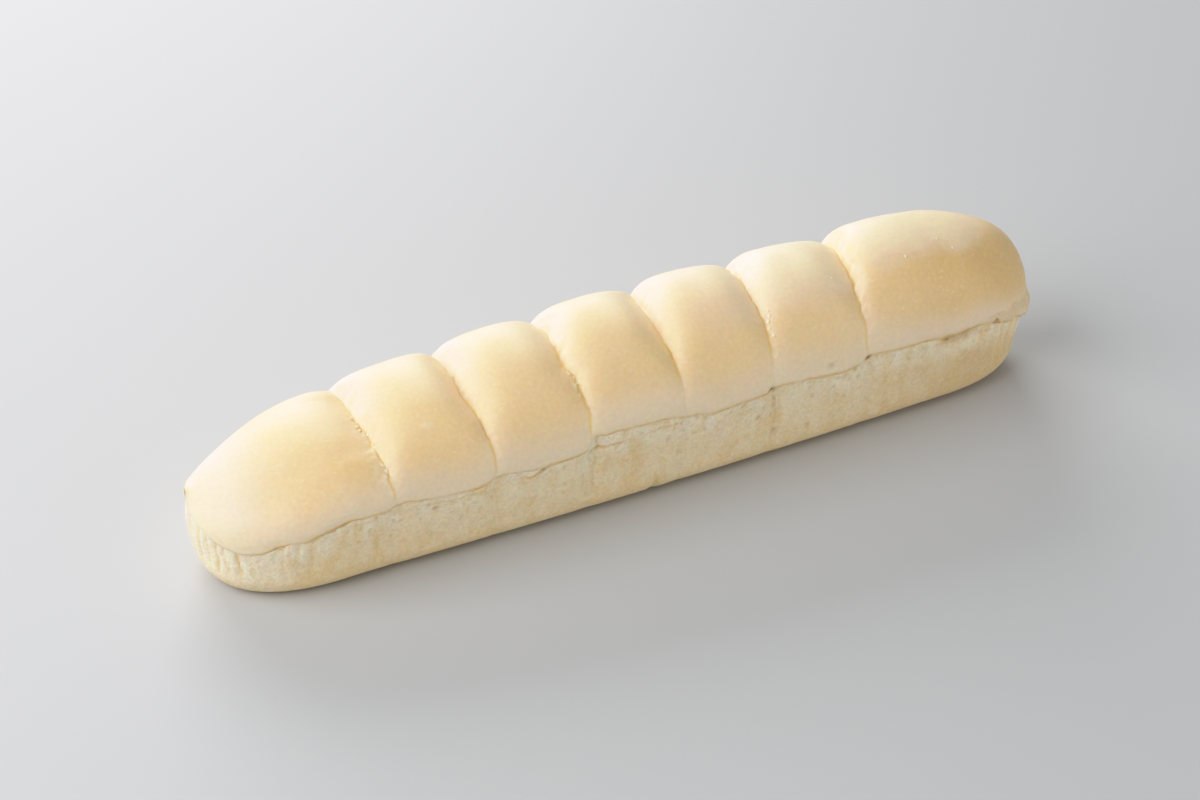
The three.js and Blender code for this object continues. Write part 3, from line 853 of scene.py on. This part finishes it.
for name, values in baking_and_painted_light.items():
    layer = loaf_mesh.attributes.new(name, "FLOAT", "POINT")
    layer.data.foreach_set("value", np.clip(values, 0, 1).astype(np.float32))
print("stored", list(baking_and_painted_light))

# %% [markdown]
# ## Bread as a material
# Bread is matt, a little translucent and never one colour. The material mixes cream, tan and pale crumb by
# the stored numbers, breaks every edge with noise, and lets light soak a few millimetres in. Fine grain
# and pores, which are smaller than the mesh can carry, come from bump. All of it is worked out from
# places on the bread, so the far side is as finished as the near one.

# %% Helpers for mixing materials
COLOUR_MIX, NUMBER_MIX = (6, 7, 2), (2, 3, 0)  # places of a Mix node's two inputs and its output


class Recipe:
    """Short helpers that add nodes to one material."""

    def __init__(self, name):
        self.material = bpy.data.materials.new(name)
        self.material.use_nodes = True
        self.nodes = self.material.node_tree.nodes
        self.links = self.material.node_tree.links
        self.shader = self.nodes["Principled BSDF"]

    def node(self, kind, **settings):
        made = self.nodes.new(kind)
        for setting, value in settings.items():
            setattr(made, setting, value)
        return made

    def put(self, value, socket):
        if isinstance(value, bpy.types.NodeSocket):
            self.links.new(value, socket)
        elif isinstance(value, tuple):
            socket.default_value = (*value, 1)
        else:
            socket.default_value = value

    def stored(self, name):
        return self.node("ShaderNodeAttribute", attribute_name=name).outputs["Fac"]

    def noise(self, size, detail, stretch=(1, 1, 1)):
        mapping = self.node("ShaderNodeMapping")
        self.put(self.node("ShaderNodeTexCoord").outputs["Object"], mapping.inputs["Vector"])
        mapping.inputs["Scale"].default_value = stretch
        texture = self.node("ShaderNodeTexNoise")
        self.put(mapping.outputs["Vector"], texture.inputs["Vector"])
        self.put(1 / (size * MM), texture.inputs["Scale"])
        self.put(detail, texture.inputs["Detail"])
        return texture.outputs["Fac"]

    def math(self, operation, first, second, clamp=False):
        made = self.node("ShaderNodeMath", operation=operation, use_clamp=clamp)
        self.put(first, made.inputs[0])
        self.put(second, made.inputs[1])
        return made.outputs[0]

    def spread(self, value, low, high, to_low, to_high):
        made = self.node("ShaderNodeMapRange")
        self.put(value, made.inputs["Value"])
        for socket, number in zip(("From Min", "From Max", "To Min", "To Max"), (low, high, to_low, to_high)):
            made.inputs[socket].default_value = number
        return made.outputs["Result"]

    def mixed(self, places, share, first, second, **settings):
        made = self.node("ShaderNodeMix", **settings)
        self.put(share, made.inputs[0])
        self.put(first, made.inputs[places[0]])
        self.put(second, made.inputs[places[1]])
        return made.outputs[places[2]]

    def mix(self, share, first, second, blend_type="MIX"):
        return self.mixed(COLOUR_MIX, share, first, second, data_type="RGBA", blend_type=blend_type)

    def between(self, share, first, second):
        return self.mixed(NUMBER_MIX, share, first, second, data_type="FLOAT")

    def layered(self, colour, layers):
        """Lay colours over the first one, each as strong as a stored number."""
        for name, strength, over in layers:
            colour = self.mix(self.math("MULTIPLY", self.stored(name), strength), colour, over)
        return colour


print("a recipe can", [name for name in vars(Recipe) if name[0] != "_"])

# %% Mix the bread
CREAM, TAN = (0.89, 0.68, 0.495), (0.88, 0.653, 0.338)
CRUMB_PALE, CRUMB_TAN = (0.88, 0.725, 0.475), (0.84, 0.635, 0.345)
FLAKE_WHITE = (0.94, 0.81, 0.62)
SKIN_LAYERS = (  # stored number, strength, colour
    ("deep_tan", 1.0, (0.82, 0.565, 0.25)),
    # painted highlight on the tops and the right shoulders
    ("painted_top_highlight", 1.0, (0.99, 0.775, 0.50)),
    # painted highlight on the left flanks
    ("painted_flank_highlight", 0.6, (0.95, 0.80, 0.64)),
    ("unbaked", 0.8, (0.88, 0.745, 0.60)),
    ("skirt_pale", 0.6, (0.89, 0.78, 0.53)),
    ("broken", 0.7, FLAKE_WHITE),
    ("pulled", 0.7, (0.92, 0.82, 0.64)),
)
CRUMB_LAYERS = (
    ("end_tan", 1.0, (0.70, 0.49, 0.25)),
    ("torn", 0.8, (0.91, 0.82, 0.63)),
    # painted shade in the pits
    ("pits", 1.0, (0.66, 0.49, 0.28)),
    # painted warm shade in the furrows
    ("furrows", 0.9, (0.84, 0.62, 0.31)),
)
TOP_LAYERS = (
    # painted warm shade in the creases
    ("painted_crease_shade", 1.0, (0.89, 0.61, 0.19)),
    # gold of the tear, also painted as warm shade along the seam, in the split and in the hollow
    ("tear", 0.75, (0.84, 0.58, 0.27)),
    # painted dark shade in the split, the hollow and the holes
    ("painted_gash_shade", 0.8, (0.42, 0.26, 0.12)),
    ("underside", 1.0, (0.62, 0.41, 0.19)),
)
CLOUD_SIZE, SPECKLE_SIZE, PATCH_SIZE, MOTTLE_SIZE = 18, 1.3, 6, 2.6  # widths of noise in millimetres
GRAIN_SIZE, PORE_SIZE = 1.6, 1.2
PATCH_PULL = (1, 1, 0.6)
GRAIN_HEIGHT, PULLED_HEIGHT, PORE_HEIGHT = 0.14, 0.35, 0.75  # shares of the bump
BUMP_HEIGHT, BUMP_STRENGTH = 1.0 * MM, 0.8
SKIN_ROUGHNESS, CRUMB_ROUGHNESS = 0.5, 0.85
SOAK, SOAK_DEPTH, SOAK_COLOUR = 0.7, 3 * MM, (1.0, 0.55, 0.25)  # red light soaks in furthest
SHEEN = 0.5


def skin_colour(bread):
    clouds = bread.spread(bread.noise(CLOUD_SIZE, 3), 0.3, 0.7, -0.12, 0.12)
    skin = bread.mix(bread.math("ADD", bread.stored("crown_tan"), clouds, True), CREAM, TAN)
    skin = bread.layered(skin, SKIN_LAYERS)
    return bread.mix(bread.spread(bread.noise(SPECKLE_SIZE, 1), 0.63, 0.75, 0, 0.35), skin, FLAKE_WHITE)


def crumb_colour(bread):
    patches = bread.spread(bread.noise(PATCH_SIZE, 5, PATCH_PULL), 0.35, 0.68, -0.5, 0.7)
    mottling = bread.spread(bread.noise(MOTTLE_SIZE, 4), 0.35, 0.65, -0.3, 0.3)
    tanned = bread.math("ADD", bread.stored("foot_tan"), bread.stored("stains_and_shade"))
    tanned = bread.math("ADD", bread.math("ADD", tanned, mottling), patches, True)
    return bread.layered(bread.mix(tanned, CRUMB_PALE, CRUMB_TAN), CRUMB_LAYERS)


def bread_material():
    bread = Recipe("bread")
    crumb_share = bread.stored("crumb")
    colour = bread.layered(bread.mix(crumb_share, skin_colour(bread), crumb_colour(bread)), TOP_LAYERS)
    grain = bread.noise(GRAIN_SIZE, 5)
    pores = bread.noise(PORE_SIZE, 4)
    # Grain and pores vary the tone and also darken the dips of their own bump, as painted shade.
    skin_grain_shade = bread.spread(grain, 0.3, 0.7, 0.96, 1.035)
    crumb_pore_shade = bread.spread(pores, 0.3, 0.65, 0.92, 1.06)
    colour = bread.mix(1.0, colour, bread.between(crumb_share, skin_grain_shade, crumb_pore_shade), "MULTIPLY")

    bump = bread.node("ShaderNodeBump")
    bump.inputs["Distance"].default_value = BUMP_HEIGHT
    bump.inputs["Strength"].default_value = BUMP_STRENGTH
    pulled_grain = bread.math("MULTIPLY", bread.stored("pulled"), PULLED_HEIGHT)
    skin_height = bread.math("MULTIPLY", grain, bread.math("ADD", GRAIN_HEIGHT, pulled_grain))
    crumb_height = bread.math("MULTIPLY", pores, PORE_HEIGHT)
    bread.put(bread.between(crumb_share, skin_height, crumb_height), bump.inputs["Height"])

    shader = bread.shader.inputs
    bread.put(colour, shader["Base Color"])
    bread.put(bread.between(crumb_share, SKIN_ROUGHNESS, CRUMB_ROUGHNESS), shader["Roughness"])
    bread.put(bump.outputs["Normal"], shader["Normal"])
    shader["Subsurface Weight"].default_value = SOAK
    shader["Subsurface Radius"].default_value = SOAK_COLOUR
    shader["Subsurface Scale"].default_value = SOAK_DEPTH
    shader["Specular IOR Level"].default_value = SHEEN
    return bread.material


loaf_mesh.materials.append(bread_material())
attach(loaf, "root")
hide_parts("loaf")
print("bread material on", loaf.name)

# %% [markdown]
# ## Flakes and specks
# Where two skins pulled apart, dry flakes of dough stayed on the edges of the crease, most of all on the
# first one, and a few specks stuck to the crowns. Each is a small ball, squashed and dented by chance and
# half sunk into the skin. Scattering them with a fixed seed is quicker than placing each by hand, and
# gives the same flakes each time.

# %% Scatter the flakes
FLAKES = (  # crease, from and to how far past it, from and to which y, how many
    (0, -2.2, -0.6, -6, 3, 10), (0, -0.6, 1.2, -17, -4, 12), (0, -2, 0.2, -27, -23, 6),
    (2, -1.5, 0.8, -22, -15, 6), (4, 0.3, 2.8, -24, -16, 7),
)
SPECKS = ((121.8, -9, 65), (122.6, -9.4, 65), (107.6, -13.6, 65), (127, -13.7, 63), (77.7, -12.7, 63.6))
FLAKE_SIZE, FLAKE_SIZES = 0.42, (0.5, 1.5)  # usual radius, and the least and most times it
SPECK_SIZE = 0.45
DENT = 0.15
STRETCHES, USUAL_STRETCH = (0.6, 1.4), (0.7, 1.1, 1.5)
SQUASH, LIFT = 0.6, 0.25  # flattened along the normal, and raised, in shares of its size
DRY_DOUGH, DRY_ROUGHNESS = (0.99, 0.86, 0.6), 0.9

chance = np.random.default_rng(5)
ball = bmesh.new()
bmesh.ops.create_icosphere(ball, subdivisions=2, radius=1)
ball_points = np.array([point.co for point in ball.verts])
ball_faces = np.array([[point.index for point in face.verts] for face in ball.faces])
ball.free()
normals = point_normals()
flake_points, flake_faces = [], []


def add_flake(point, size):
    dents = 1 + DENT * chance.normal(size=(len(ball_points), 1))
    lump = ball_points * dents * size * chance.uniform(*STRETCHES, 3) * USUAL_STRETCH
    lump -= SQUASH * np.outer(lump @ normals[point], normals[point])
    flake_faces.append(ball_faces + sum(len(points) for points in flake_points))
    flake_points.append(skin_points[point] + normals[point] * size * LIFT + lump)


for number, start, stop, low, high, count in FLAKES:
    edge = (nearest_crease == number) & (past_crease > start) & (past_crease < stop) & (on_dome > 0.9)
    edge &= (point_y > low) & (point_y < high)
    for point in chance.choice(np.flatnonzero(edge), count, replace=False):
        add_flake(point, FLAKE_SIZE * chance.uniform(*FLAKE_SIZES))
for speck in SPECKS:
    add_flake(np.argmin(((skin_points - speck) ** 2).sum(axis=1)), SPECK_SIZE)
all_points = np.concatenate(flake_points) * MM
flakes = add_mesh("dough_flakes", all_points.tolist(), np.concatenate(flake_faces).tolist())
flakes.data.materials.append(plain_material("dry_dough", DRY_DOUGH, DRY_ROUGHNESS))
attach(flakes, "root")
print(len(flake_points), "flakes")

# %% [markdown]
# ## The box to fill
# The skin must not outgrow the solid that it stands for.
